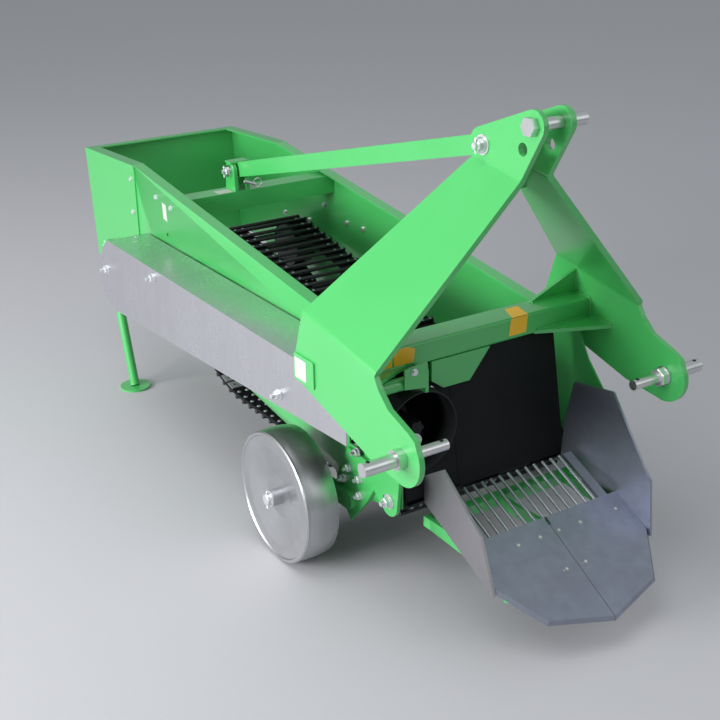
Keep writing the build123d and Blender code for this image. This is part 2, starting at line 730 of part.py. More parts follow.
# ---------------------------------------------------------------- what is bolted on each side
SIDE_PLATE = 10
WHEEL_BAR = 12
SIDE_OUTLINE = [(266, 279), (410, 281), (457, 195), (455, 167), (401, 101), (333, 178)]
leg_rake = radians(LEG_RAKE)
for side, name in SIDES:
    outer = face_x(side, BOX_WIDTH / 2)
    with BuildPart() as side_plate:
        with BuildSketch(side_plane(outer)):
            Polygon(*SIDE_OUTLINE, align=None)
            with Locations(ROLLER):
                Circle(AXLE_R + FIT, mode=Mode.SUBTRACT)
        extrude(amount=side * SIDE_PLATE)
    write(side_plate, f"side_plate_{name}")

    with BuildPart() as take_up:
        with BuildSketch(side_plane(outer + side * SIDE_PLATE)):
            with Locations((236, 224)):
                Circle(31)
            Polygon((254, 199), (322, 250), (300, 296), (196, 296), (206, 216), align=None)
            with Locations((240, 229)):
                SlotCenterToCenter(20, 14, mode=Mode.SUBTRACT)
        extrude(amount=side * 8)
    write(take_up, f"take_up_{name}")

    with BuildPart() as wheel_bracket:
        with BuildSketch(side_plane(outer + side * SIDE_PLATE)):
            with Locations(Location(((400 + WHEEL_Y) / 2, 156), 0)):
                SlotCenterToCenter(WHEEL_Y - 400, 44)
        extrude(amount=side * WHEEL_BAR)
        hub_out = WHEEL_FACE + 5
        with BuildSketch(side_plane(outer + side * (SIDE_PLATE + WHEEL_BAR))):
            with Locations((WHEEL_Y, WHEEL_R)):
                Circle(AXLE_R)
        extrude(amount=side * (HUB_END - BOX_WIDTH / 2 - SIDE_PLATE - WHEEL_BAR))
        with BuildSketch(side_plane(face_x(side, hub_out + 1))):
            with Locations((WHEEL_Y, WHEEL_R)):
                Circle(17)
        extrude(amount=side * 3)
    write(wheel_bracket, f"wheel_bracket_{name}")

    with BuildPart() as wheel:
        with BuildSketch(Plane(origin=(BOX_X, WHEEL_Y, WHEEL_R), x_dir=(side, 0, 0), z_dir=(0, 0, 1))):
            with BuildLine():
                Polyline(
                    (WHEEL_FACE - 82, WHEEL_R - 4),
                    (WHEEL_FACE - 82, WHEEL_R - 12),
                    (WHEEL_FACE - 77, WHEEL_R - 12),
                    (WHEEL_FACE - 77, WHEEL_R - 8),
                    (WHEEL_FACE - 8, WHEEL_R - 8),
                    (WHEEL_FACE - 8, 116),
                    (WHEEL_FACE - 20, 48),
                    (WHEEL_FACE - 20, 22),
                    (WHEEL_FACE - 66, 22),
                    (WHEEL_FACE - 66, AXLE_R + RUN),
                    (hub_out, AXLE_R + RUN),
                    (hub_out, 19),
                    (WHEEL_FACE - 16, 19),
                    (WHEEL_FACE - 16, 50),
                    (WHEEL_FACE - 4, 118),
                    (WHEEL_FACE - 3, WHEEL_R - 12),
                    (WHEEL_FACE, WHEEL_R - 9),
                    (WHEEL_FACE, WHEEL_R - 4),
                    (WHEEL_FACE - 3, WHEEL_R - 1),
                    (WHEEL_FACE - 7, WHEEL_R - 1),
                    (WHEEL_FACE - 8, WHEEL_R - 3),
                )
                ThreePointArc(
                    (WHEEL_FACE - 8, WHEEL_R - 3),
                    (WHEEL_FACE - 44, WHEEL_R),
                    (WHEEL_FACE - 82, WHEEL_R - 4),
                )
            make_face()
        revolve(axis=Axis((BOX_X, WHEEL_Y, WHEEL_R), (1, 0, 0)))
    write(wheel, f"wheel_{name}")

    leg_plane = Plane(
        origin=(outer + side * LEG_GAP, LEG_FOOT_Y, 0),
        x_dir=(1, 0, 0),
        z_dir=(0, sin(leg_rake), cos(leg_rake)),
    )
    with BuildPart() as leg:
        with BuildSketch(leg_plane.offset(8)):
            Circle(LEG_R)
        extrude(amount=LEG_LENGTH - 8)
        with BuildSketch(Plane(origin=leg_plane.origin)):
            Circle(FOOT_R)
        extrude(amount=6)
    write(leg, f"parking_leg_{name}")

    with BuildPart() as sleeve:
        with BuildSketch(leg_plane.offset(LEG_LENGTH - 85)):
            Circle(LEG_R + 6)
            with Locations((-side * (LEG_GAP - WALL) / 2, 0)):
                Rectangle(LEG_GAP - WALL, 30)
            Circle(LEG_R + RUN, mode=Mode.SUBTRACT)
        extrude(amount=75)
    write(sleeve, f"leg_sleeve_{name}")

# ---------------------------------------------------------------- share
share_plane = Plane(
    origin=(BOX_X, SHARE_TIP[0], SHARE_TIP[1]),
    x_dir=(1, 0, 0),
    z_dir=(0, -sin(share_angle), cos(share_angle)),
)


def share_z(y, below=0):
    """Height of the share's top face at y, or of a face that lies below it."""
    return SHARE_TIP[1] + (y - SHARE_TIP[0]) * tan(share_angle) - below / cos(share_angle)


def along(y):
    """Distance up the share's slope from the tip to the point at y."""
    return (y - SHARE_TIP[0]) / cos(share_angle)


SHEET = 6               # side plates
SIDE_TAPER = 0.085      # the cheeks come together to the rear, per mm of length
CHEEK_LOW = [(-64, 132), (204, 218)]
CHEEKS = {
    # outline (y, z) above the bottom edge; the right-hand one is cut low for the input shaft
    "right": [(204, 282), (132, 328), (-11, 245)],
    "left": [(197, 322), (175, 412), (64, 425), (-31, 287), (-52, 263)],
}
rear_half = SHARE_CORNER[1] - SIDE_TAPER * (SHARE_REAR[0] - SHARE_CORNER[0])
for side, name in SIDES:
    with BuildPart() as share_half:
        with BuildSketch(share_plane):
            Polygon(
                (side * 0.5, 0),
                (side * SHARE_NOSE[1], along(SHARE_NOSE[0])),
                (side * SHARE_CORNER[1], along(SHARE_CORNER[0])),
                (side * rear_half, along(SHARE_REAR[0])),
                (side * 4, along(SHARE_REAR[0])),
                (side * 4, along(SHARE_REAR[0]) - 20),
                (side * 0.5, along(SHARE_REAR[0]) - 20),
                align=None,
            )
        extrude(amount=-SHARE_THICK)
        nose = [
            edge
            for edge in share_half.edges()
            if abs((edge.center() - share_plane.origin).dot(share_plane.z_dir)) < 0.01
            and edge.center().Y < SHARE_CORNER[0]
            and abs(edge.center().X - BOX_X) > 1
        ]
        chamfer(nose, length=SHARE_BEVEL)
    write(share_half, f"share_{name}")

    cheek_plane = Plane(
        origin=(face_x(side, SHARE_CORNER[1] + FIT), SHARE_CORNER[0], 0),
        x_dir=(-side * SIDE_TAPER, 1, 0),
        z_dir=(1, side * SIDE_TAPER, 0),
    )
    with BuildPart() as share_cheek:
        with BuildSketch(cheek_plane):
            Polygon(*((y - SHARE_CORNER[0], z) for y, z in CHEEK_LOW + CHEEKS[name]), align=None)
        extrude(amount=side * SHEET)
    write(share_cheek, f"share_cheek_{name}")

bar_angle = atan2(BAR_END[1] - SHARE_REAR[1], BAR_END[0] - SHARE_REAR[0])
bar_length = hypot(BAR_END[1] - SHARE_REAR[1], BAR_END[0] - SHARE_REAR[0])
bar_plane = Plane(
    origin=(
        BOX_X,
        SHARE_REAR[0] + SHARE_THICK / 2 * sin(share_angle),
        SHARE_REAR[1] - SHARE_THICK / 2 * cos(share_angle),
    ),
    x_dir=(1, 0, 0),
    z_dir=(0, cos(share_angle), sin(share_angle)),
)
with BuildPart() as bars:
    with BuildSketch(bar_plane):
        with GridLocations(2 * BAR_HALF / (BAR_COUNT - 1), 1, BAR_COUNT, 1):
            Circle(3.8)
        with Locations((-BAR_HALF - 22, 0), (BAR_HALF + 22, 0)):
            Rectangle(24, 7)
    extrude(amount=bar_length, dir=(0, cos(bar_angle), sin(bar_angle)))
write(bars, "share_bars")

CARRIER_Y = (182, 206)
CARRIER_Z = (160, 184)
with BuildPart() as carrier:
    with BuildSketch(side_plane(face_x(RIGHT, WALL_IN))):
        Polygon(
            (CARRIER_Y[0], CARRIER_Z[0]),
            (CARRIER_Y[1], CARRIER_Z[0]),
            (CARRIER_Y[1], CARRIER_Z[1]),
            (CARRIER_Y[0], CARRIER_Z[1]),
            align=None,
        )
    extrude(amount=2 * WALL_IN)
    for x in (22 - SHARE_CORNER[1], 0, SHARE_CORNER[1] - 22):
        with BuildSketch(side_plane(BOX_X + x - 5)):
            Polygon(
                (SHARE_CORNER[0] - 20, share_z(SHARE_CORNER[0] - 20, SHARE_THICK)),
                (SHARE_REAR[0] - 2, share_z(SHARE_REAR[0] - 2, SHARE_THICK)),
                (SHARE_REAR[0] + 20, share_z(SHARE_REAR[0] - 2, SHARE_THICK)),
                (CARRIER_Y[1], CARRIER_Z[1]),
                (CARRIER_Y[1], CARRIER_Z[0]),
                (SHARE_REAR[0], share_z(SHARE_REAR[0], SHARE_THICK) - 34),
                (SHARE_CORNER[0] - 10, share_z(SHARE_CORNER[0] - 20, SHARE_THICK) - 6),
                align=None,
            )
        extrude(amount=10)
write(carrier, "share_carrier")

# ---------------------------------------------------------------- rubber curtain and blank sign
CURTAIN_X = (INPUT_X + CONE_R + 9, BOX_LEFT - 47)
with BuildPart() as curtain:
    with BuildSketch(side_plane(CURTAIN_X[0])):
        Polygon((262, BEAM_Z[0] - FIT), (266, BEAM_Z[0] - FIT), (210, 226), (206, 226), align=None)
    extrude(amount=CURTAIN_X[1] - CURTAIN_X[0])
write(curtain, "rubber_curtain")

with BuildPart() as sign:
    with BuildSketch(side_plane(-HITCH_HALF)):
        with Locations((356, 508)):
            RectangleRounded(58, 54, 4)
    extrude(amount=-2.5)
write(sign, "sign_plate")
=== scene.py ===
"""Looks of a single-row potato harvester: finishes, fasteners, conveyor web, blank labels and a studio.

Measures are millimetres from the hitch's reference point on the ground, below the middle of the lower
pins: X to the machine's left, Y to its rear and Z up. at() turns them into the scene's metres.
"""
import json
import math

import bmesh
import bpy
from mathutils import Matrix, Vector


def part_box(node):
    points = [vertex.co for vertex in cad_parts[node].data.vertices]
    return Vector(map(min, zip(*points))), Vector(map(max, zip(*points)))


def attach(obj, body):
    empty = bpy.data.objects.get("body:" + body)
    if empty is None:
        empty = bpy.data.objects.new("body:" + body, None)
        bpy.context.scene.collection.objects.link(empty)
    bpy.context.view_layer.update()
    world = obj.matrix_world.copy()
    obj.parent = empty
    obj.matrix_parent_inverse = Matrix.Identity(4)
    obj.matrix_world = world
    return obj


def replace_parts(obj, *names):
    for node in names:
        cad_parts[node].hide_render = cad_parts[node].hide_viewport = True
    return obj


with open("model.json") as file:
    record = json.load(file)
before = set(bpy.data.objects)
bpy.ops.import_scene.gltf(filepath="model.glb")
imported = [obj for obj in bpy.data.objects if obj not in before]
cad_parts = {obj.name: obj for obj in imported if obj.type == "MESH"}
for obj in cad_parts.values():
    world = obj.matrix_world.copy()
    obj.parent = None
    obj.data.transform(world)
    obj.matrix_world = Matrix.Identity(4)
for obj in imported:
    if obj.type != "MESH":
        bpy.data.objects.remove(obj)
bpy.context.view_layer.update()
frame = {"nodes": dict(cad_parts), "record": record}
nodes = frame["nodes"]
slot_of = {row["node"]: row["material_slot"] for row in frame["record"]["subparts"]}

RIGHT, LEFT = -1, 1
TO_RIGHT, TO_FRONT, TO_BACK, UP = (-1, 0, 0), (0, -1, 0), (0, 1, 0), (0, 0, 1)

PIN_END, PIN_Z = 429.5, 467                             # lower pins: outer end and height
PLATE_OUT, PLATE_IN = 341.5, 329.5                      # hitch plates' outer and inner faces
STAY_FRONT, STAY_REAR = (165, 979), (1272, 702)         # stay's pins, (y, z)
BEAM_FRONT, BEAM_BACK, BEAM_LOW, BEAM_TOP = 234, 284, 522, 572
GUSSET_Z = 530
GUARD_FACE = -323                                       # chain guard's outer face, x
BRACKET_FACE = 189                                      # cone bracket's front face, y
INPUT_AXIS = (-147, 208, 383)                           # a point on the input shaft's axis
CONE_R = 91
WHEEL_CENTRE = (504, 155)                               # wheels' axis, (y, z)

BOX_X = 50                                              # channel's centre plane
# Distances from that plane
BOX_HALF = 244                                          # walls' outer faces
WALL_INSIDE = BOX_HALF - 4
HOOD_FACE = BOX_HALF + 4
SIDE_PLATE_FACE = BOX_HALF + 10
TAKE_UP_FACE = BOX_HALF + 18
WHEEL_FACE = 396
HUB_FACE = WHEEL_FACE + 5.6
AXLE_PIN = WHEEL_FACE + 14.5

ROD_R, BELT = 5.5, 8                                    # web rods' radius and belts' thickness

pin_low, pin_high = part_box("lower_hitch_pin_right")
HITCH = Vector((pin_low.x + PIN_END / 1000, (pin_low.y + pin_high.y) / 2, 0.0))


def at(x, y, z):
    """A point in metres from its millimetres off the hitch's reference point."""
    return Vector((x, y, z)) / 1000 + HITCH


def side_x(side, distance):
    """X of a plane at a distance from the channel's centre plane."""
    return BOX_X + side * distance


# ---------------------------------------------------------------- node graphs
GENERATED, OBJECT = 0, 3                                # outputs of Texture Coordinate
MIX_FACTOR, MIX_A, MIX_B, MIX_RESULT = 0, 6, 7, 2       # a Mix node's sockets for colours


class Value:
    """A socket of a node graph, on which Python arithmetic adds Math nodes."""

    def __init__(self, graph, socket):
        self.graph = graph
        self.socket = socket

    def math(self, operation, other=0.0, swapped=False):
        first, second = (other, self) if swapped else (self, other)
        return self.graph.node("ShaderNodeMath", {"operation": operation}, {0: first, 1: second})

    def __add__(self, other):
        return self.math("ADD", other)

    def __mul__(self, other):
        return self.math("MULTIPLY", other)

    def __sub__(self, other):
        return self.math("SUBTRACT", other)

    def __rsub__(self, other):
        return self.math("SUBTRACT", other, swapped=True)

    __radd__ = __add__
    __rmul__ = __mul__

    def between(self, low, high, start=0.0, end=1.0):
        """Start below low, end above high and a smooth step between them."""
        values = {"Value": self, "From Min": low, "From Max": high, "To Min": start, "To Max": end}
        return self.graph.node("ShaderNodeMapRange", {"interpolation_type": "SMOOTHSTEP"}, values)


class Graph:
    """A node tree with one method that adds any node."""

    def __init__(self, tree):
        self.tree = tree

    def node(self, kind, settings=None, values=None, out=0):
        """Add a node: its settings first, then the values or links of its inputs."""
        node = self.tree.nodes.new(kind)
        for key, value in (settings or {}).items():
            setattr(node, key, value)
        for key, value in (values or {}).items():
            self.feed(node.inputs[key], value)
        return Value(self, node.outputs[out]) if node.outputs else node

    def feed(self, socket, value):
        if isinstance(value, Value):
            self.tree.links.new(value.socket, socket)
        else:
            socket.default_value = value


class Finish(Graph):
    """A material: a Principled shader and what varies it over the surface."""

    def __init__(self, name, color, roughness, metallic=0.0, **constants):
        self.material = bpy.data.materials.new(name)
        self.material.use_nodes = True
        super().__init__(self.material.node_tree)
        self.tree.nodes.clear()
        self.shader = self.tree.nodes.new("ShaderNodeBsdfPrincipled")
        output = self.tree.nodes.new("ShaderNodeOutputMaterial")
        self.tree.links.new(self.shader.outputs["BSDF"], output.inputs["Surface"])
        self.color = (*color, 1.0)
        self.set("Base Color", self.color)
        self.set("Roughness", roughness)
        self.set("Metallic", metallic)
        for key, value in constants.items():
            self.set(key.replace("_", " "), value)

    def set(self, name, value):
        self.feed(self.shader.inputs[name], value)

    def spot(self, stretch=(1.0, 1.0, 1.0)):
        """Object coordinates, scaled along each axis."""
        place = self.node("ShaderNodeTexCoord", out=OBJECT)
        return self.node("ShaderNodeMapping", None, {"Vector": place, "Scale": stretch})

    def noise(self, scale, stretch=(1.0, 1.0, 1.0), detail=3.0):
        values = {"Vector": self.spot(stretch), "Scale": scale, "Detail": detail}
        return self.node("ShaderNodeTexNoise", None, values)

    def blend(self, factor, other):
        """Base colour that goes to another colour as factor goes from 0 to 1."""
        settings = {"data_type": "RGBA"}
        values = {MIX_FACTOR: factor, MIX_A: self.color, MIX_B: (*other, 1.0)}
        self.set("Base Color", self.node("ShaderNodeMix", settings, values, out=MIX_RESULT))

    def relief(self, height, distance, strength=1.0):
        values = {"Height": height, "Distance": distance, "Strength": strength}
        self.set("Normal", self.node("ShaderNodeBump", None, values))


# ---------------------------------------------------------------- finishes
def shaded(color, factor):
    """A colour made darker or lighter by a factor."""
    return tuple(part * factor for part in color)


def green_paint():
    """Glossy paint with faint clouds and a fine orange peel."""
    finish = Finish("green_paint", (0.058, 0.450, 0.106), 0.34, Coat_Weight=0.9, Coat_Roughness=0.22)
    cloud = finish.noise(5.0)
    finish.blend(cloud.between(0.35, 0.75) * 0.35, (0.074, 0.485, 0.134))
    finish.set("Roughness", 0.31 + cloud * 0.08)
    finish.relief(finish.noise(420.0, detail=1.0), 0.00012, 0.5)
    return finish.material


def rolled_steel(name, color, roughness, stretch, shade=0.75, metallic=1.0):
    """Bare sheet with fine rolling streaks along one axis and faint clouds."""
    finish = Finish(name, color, roughness, metallic)
    streaks = finish.noise(60.0, stretch, detail=4.0)
    cloud = finish.noise(7.0, detail=4.0)
    finish.blend((streaks * 0.5 + cloud * 0.5).between(0.3, 0.7) * 0.8, shaded(color, shade))
    finish.set("Roughness", roughness - 0.06 + streaks * 0.14 + cloud * 0.06)
    finish.relief(streaks, 0.0001, 0.35)
    return finish.material


def away_from_axis(finish, axes, centre):
    """Distance of a surface point from an axis, in metres, from its two coordinates across that axis."""
    place = finish.node("ShaderNodeTexCoord", out=OBJECT)
    parts = [
        finish.node("ShaderNodeSeparateXYZ", None, {0: place}, out=axis) - centre[axis] for axis in axes
    ]
    return (parts[0] * parts[0] + parts[1] * parts[1]).math("SQRT")


def turned_steel():
    """Galvanised wheel: fine rings round the axle."""
    finish = Finish("galvanised", (0.57, 0.575, 0.59), 0.32, metallic=1.0)
    radius = away_from_axis(finish, (1, 2), at(0, *WHEEL_CENTRE))
    values = {"W": radius * 260.0, "Detail": 3.0}
    rings = finish.node("ShaderNodeTexNoise", {"noise_dimensions": "1D"}, values)
    cloud = finish.noise(14.0, detail=4.0)
    finish.blend((rings * 0.5 + cloud * 0.5).between(0.32, 0.7) * 0.8, (0.44, 0.445, 0.46))
    finish.set("Roughness", 0.25 + rings * 0.14 + cloud * 0.08)
    finish.relief(rings, 0.0001, 0.3)
    return finish.material


def cone_rubber():
    """Black cone: a slight shine outside; inside, painted shade makes it dead black and dull."""
    inner, outer = 0.0855, 0.0868       # radii between which the wall's outside starts, metres
    finish = Finish("cone_rubber", (0.001, 0.001, 0.001), 0.5, Specular_IOR_Level=0.1)
    radius = away_from_axis(finish, (0, 2), at(*INPUT_AXIS))
    # Painted shade: the wall's inside is darker than its outside, standing in for the shade in the cone's
    # mouth
    finish.blend(radius.between(inner, outer), (0.03, 0.031, 0.034))
    finish.set("Roughness", radius.between(inner, outer, 0.9, 0.32))
    return finish.material


def soft_black(name, color, roughness, grain, shine=0.5):
    """Rubber, blackened steel or iron with a fine grain."""
    finish = Finish(name, color, roughness, Specular_IOR_Level=shine)
    cloud = finish.noise(grain, detail=4.0)
    finish.blend(cloud.between(0.4, 0.8) * 0.6, shaded(color, 1.7))
    finish.set("Roughness", roughness - 0.08 + cloud * 0.16)
    finish.relief(finish.noise(grain * 25), 0.0002, 0.35)
    return finish.material


def flat_colour(name, color, roughness):
    """Labels, the painted shade of holes and the floor: one even colour."""
    return Finish(name, color, roughness).material


EVEN = (1, 1, 1)
UPRIGHT = (0.5, 0.5, 0.12)          # long streaks up the sheet
LENGTHWISE = (6.0, 0.4, 6.0)        # long streaks from front to rear

FINISHES = {
    "green_paint": green_paint(),
    "zinc": rolled_steel("zinc", (0.70, 0.71, 0.71), 0.27, EVEN, shade=0.85),
    "bare_steel": rolled_steel("bare_steel", (0.60, 0.585, 0.60), 0.30, UPRIGHT, shade=0.88),
    "drawn_steel": rolled_steel("drawn_steel", (0.40, 0.42, 0.46), 0.32, LENGTHWISE),
    "galvanised": turned_steel(),
    "black_rubber": soft_black("black_rubber", (0.006, 0.006, 0.008), 0.6, grain=9.0, shine=0.22),
    "black_steel": soft_black("black_steel", (0.012, 0.013, 0.015), 0.38, grain=30.0),
    # Painted shade: grey iron is near black because the shaft and gearbox lie in shade inside the cone
    "grey_iron": soft_black("grey_iron", (0.012, 0.013, 0.014), 0.6, grain=30.0, shine=0.25),
    "white_label": flat_colour("white_label", (0.50, 0.50, 0.48), 0.5),
}
share_steel = rolled_steel("share_steel", (0.36, 0.385, 0.47), 0.36, (0.6, 0.6, 0.6), shade=0.8)
cheek_steel = rolled_steel("cheek_steel", (0.44, 0.43, 0.455), 0.36, (0.6, 0.6, 0.2), shade=0.85)
guard_steel = rolled_steel("guard_steel", (0.66, 0.655, 0.69), 0.25, UPRIGHT, shade=0.88, metallic=0.93)
plated = rolled_steel("plated", (0.80, 0.82, 0.84), 0.32, EVEN, shade=0.85, metallic=0.8)
orange_label = flat_colour("orange_label", (0.98, 0.52, 0.03), 0.4)
# Near black for the discs that paint the shade inside holes
painted_hole_shade = flat_colour("painted_hole_shade", (0.006, 0.006, 0.006), 0.8)

# Finish and record slot of the pieces that are added
ZINC = (plated, "zinc")
GREEN = (FINISHES["green_paint"], "green_paint")
DRAWN = (FINISHES["drawn_steel"], "drawn_steel")
RUBBER = (FINISHES["black_rubber"], "black_rubber")
BLACK = (FINISHES["black_steel"], "black_steel")
HOLE_SHADE = (painted_hole_shade, "black_steel")

# Nodes whose finish isn't the one of their slot
OWN_FINISHES = {
    "share_right": share_steel,
    "share_left": share_steel,
    "share_cheek_left": share_steel,
    "share_cheek_right": cheek_steel,
    "chain_guard": guard_steel,
    # The shaft takes the near-black grey iron: painted shade inside the cone
    "pto_shaft": FINISHES["grey_iron"],
    "pto_cone": cone_rubber(),
}
for name, node in nodes.items():
    node.data.materials.clear()
    node.data.materials.append(OWN_FINISHES.get(name, FINISHES[slot_of[name]]))


# ---------------------------------------------------------------- pieces
def piece(name, mesh, finish, slot, smooth=35):
    """A finished mesh as a piece that rides on the frame, smooth up to an angle in degrees."""
    mesh.materials.clear()
    mesh.materials.append(finish)
    mesh.polygons.foreach_set("use_smooth", [True] * len(mesh.polygons))
    mesh.set_sharp_from_angle(angle=math.radians(smooth))
    made = bpy.data.objects.new(name, mesh)
    bpy.context.scene.collection.objects.link(made)
    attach(made, "frame")
    return made


def mesh_from(name, shape):
    """A plain mesh from a bmesh, with its faces turned outwards."""
    bmesh.ops.recalc_face_normals(shape, faces=shape.faces)
    mesh = bpy.data.meshes.new(name)
    shape.to_mesh(mesh)
    shape.free()
    return mesh


def slab(name, outlines, thickness, finish, slot):
    """Flat plates, one for each outline of points in order round its edge, raised by a thickness."""
    shape = bmesh.new()
    for outline, facing in outlines:
        lift = Vector(facing).normalized() * thickness
        low = [shape.verts.new(point) for point in outline]
        high = [shape.verts.new(point + lift) for point in outline]
        shape.faces.new(low)
        shape.faces.new(high)
        for i, corner in enumerate(low):
            j = (i + 1) % len(low)
            shape.faces.new((corner, low[j], high[j], high[i]))
    return piece(name, mesh_from(name, shape), finish, slot)


def tube(name, paths, radius, finish, slot):
    """Round wires or beads along paths."""
    curve = bpy.data.curves.new(name, "CURVE")
    curve.dimensions = "3D"
    curve.bevel_depth = radius
    curve.bevel_resolution = 3
    curve.use_fill_caps = True
    for path in paths:
        spline = curve.splines.new("POLY")
        spline.points.add(len(path) - 1)
        for point, spot in zip(spline.points, path):
            point.co = (*spot, 1.0)
    holder = bpy.data.objects.new(name + "_curve", curve)
    bpy.context.scene.collection.objects.link(holder)
    graph = bpy.context.evaluated_depsgraph_get()
    mesh = bpy.data.meshes.new_from_object(holder.evaluated_get(graph))
    bpy.data.objects.remove(holder)
    return piece(name, mesh, finish, slot, smooth=50)


def stack_tree(parts):
    """Geometry Nodes that set a stack of frusta on every point, along the point's facing."""
    tree = bpy.data.node_groups.new("stack_" + "_".join(parts), "GeometryNodeTree")
    tree.interface.new_socket("Places", in_out="INPUT", socket_type="NodeSocketGeometry")
    for part in parts:
        tree.interface.new_socket(part + " Sides", in_out="INPUT", socket_type="NodeSocketInt")
        for size in ("Radius", "Top Radius", "Height"):
            tree.interface.new_socket(f"{part} {size}", in_out="INPUT", socket_type="NodeSocketFloat")
    tree.interface.new_socket("Finish", in_out="INPUT", socket_type="NodeSocketMaterial")
    tree.interface.new_socket("Geometry", in_out="OUTPUT", socket_type="NodeSocketGeometry")
    graph = Graph(tree)
    given = tree.nodes.new("NodeGroupInput")

    def ask(label):
        return Value(graph, given.outputs[label])

    joined = tree.nodes.new("GeometryNodeJoinGeometry")
    base = None
    for part in parts:
        values = {
            "Vertices": ask(part + " Sides"),
            "Radius Bottom": ask(part + " Radius"),
            "Radius Top": ask(part + " Top Radius"),
            "Depth": ask(part + " Height"),
        }
        frustum = graph.node("GeometryNodeMeshCone", None, values)
        if base is not None:
            lift = graph.node("ShaderNodeCombineXYZ", None, {"Z": base})
            frustum = graph.node("GeometryNodeTransform", None, {"Geometry": frustum, "Translation": lift})
        tree.links.new(frustum.socket, joined.inputs[0])
        base = ask(part + " Height") if base is None else base + ask(part + " Height")
    settings = {"data_type": "FLOAT_VECTOR"}
    facing = graph.node("GeometryNodeInputNamedAttribute", settings, {"Name": "facing"})
    turn = graph.node("FunctionNodeAlignRotationToVector", {"axis": "Z"}, {"Vector": facing})
    values = {"Points": ask("Places"), "Instance": Value(graph, joined.outputs[0]), "Rotation": turn}
    placed = graph.node("GeometryNodeInstanceOnPoints", None, values)
    real = graph.node("GeometryNodeRealizeInstances", None, {"Geometry": placed})
    dressed = graph.node("GeometryNodeSetMaterial", None, {"Geometry": real, "Material": ask("Finish")})
    graph.node("NodeGroupOutput", None, {"Geometry": dressed})
    return tree


trees = {}      # one for each set of parts' names


def stacks(name, parts, places, finish, slot):
    """The same fastener or rod on every place (point, facing).

    Parts are {name: (sides, radius, top radius, height)} from the foot up, in millimetres.
    """
    key = tuple(parts)
    if key not in trees:
        trees[key] = stack_tree(key)
    tree = trees[key]
    points = bpy.data.meshes.new(name + "_places")
    points.from_pydata([spot for spot, way in places], [], [])
    facing = points.attributes.new("facing", "FLOAT_VECTOR", "POINT")
    facing.data.foreach_set("vector", [part for spot, way in places for part in way])
    holder = bpy.data.objects.new(name + "_holder", points)
    bpy.context.scene.collection.objects.link(holder)
    modifier = holder.modifiers.new("stack", "NODES")
    modifier.node_group = tree
    given = {"Finish": finish}
    for part, (sides, radius, top, height) in parts.items():
        given[part + " Sides"] = sides
        given[part + " Radius"] = radius / 1000
        given[part + " Top Radius"] = top / 1000
        given[part + " Height"] = height / 1000
    for item in tree.interface.items_tree:
        if item.item_type == "SOCKET" and item.name in given:
            modifier[item.identifier] = given[item.name]
    graph = bpy.context.evaluated_depsgraph_get()
    mesh = bpy.data.meshes.new_from_object(holder.evaluated_get(graph))
    mesh.name = name
    bpy.data.objects.remove(holder)
    return piece(name, mesh, finish, slot, smooth=30)


# ---------------------------------------------------------------- fasteners
# The parts of a stack, from its foot up: (sides, radius, top radius, height)
STUD_NUT = {
    "Washer": (28, 11, 11, 2),
    "Head": (6, 9.5, 9.5, 6.5),
    "Crown": (6, 9.5, 8.0, 1.5),
    "Thread": (16, 5.0, 4.2, 8),
}
GUARD_NUT = {
    "Washer": (28, 13, 13, 2.5),
    "Head": (6, 11.2, 11.2, 8),
    "Crown": (6, 11.2, 9.4, 1.8),
    "Thread": (16, 6.0, 5.2, 9),
}
TAKE_UP_NUT = {
    "Plate": (28, 17, 17, 3),
    "Washer": (28, 13.5, 13.5, 3),
    "Head": (6, 12, 12, 8),
    "Crown": (6, 12, 10.2, 1.5),
    "Thread": (16, 6.5, 5.6, 8),
}
HUB_NUT = {"Washer": (36, 17.8, 17.8, 4.2), "Sleeve": (28, 13.4, 13.4, 8.3), "Crown": (28, 13.4, 12.2, 0.9)}
STAY_NUT = {"Head": (6, 11, 11, 7), "Crown": (6, 11, 9, 1.5), "Thread": (16, 7, 6.2, 6)}
STAY_WASHER = {"Washer": (36, 20, 20, 3)}
LOWER_PIN_NUT = {"Head": (6, 20.6, 20.6, 15), "Crown": (6, 20.6, 18.2, 2.3)}
SMALL_BOLT = {"Washer": (24, 8, 8, 1.5), "Head": (6, 6.6, 6.6, 3.6), "Crown": (6, 6.6, 5.4, 1.0)}
SUNK_BOLT = {"Rim": (32, 8.4, 8.0, 0.5)}
SUNK_KEY = {"Key": (6, 3.6, 3.6, 0.7)}
RIVET = {"Head": (12, 4.2, 3.6, 0.8), "Crown": (12, 3.6, 1.8, 0.7)}
BELT_RIVET = {"Head": (14, 5.6, 4.6, 1.2), "Crown": (14, 4.6, 2.4, 1.0)}
PIN_HOLE = {"Hole": (20, 4.2, 4.2, 2.0)}
JOINT_HOLE = {"Hole": (14, 3.2, 3.2, 0.4)}
EYELET = {"Eye": (28, 11, 11, 3)}

# (y, z) of what is bolted on both sides
HOOD_BOLTS = ((1537, 651), (1541, 555))
WALL_BOLTS = ((1380, 633), (1288, 623))
INNER_BOLTS = ((1180, 525), (1303, 549), (1098, 527), (1388, 485), (1531, 475))
SIDE_PLATE_BOLTS = ((368, 286), (405, 232), (427, 197), (361, 223), (362, 181))
TAKE_UP_AXIS = (233, 229)
GUARD_STUDS = ((1456, 432), (1140, 495), (495, 408))


def on_walls(distance, spots, inward=False):
    """Places on both sides at (y, z) spots, at a distance from the channel's centre plane."""
    places = []
    for side in (RIGHT, LEFT):
        facing = (-side if inward else side, 0, 0)
        places += [(at(side_x(side, distance), y, z), facing) for y, z in spots]
    return places


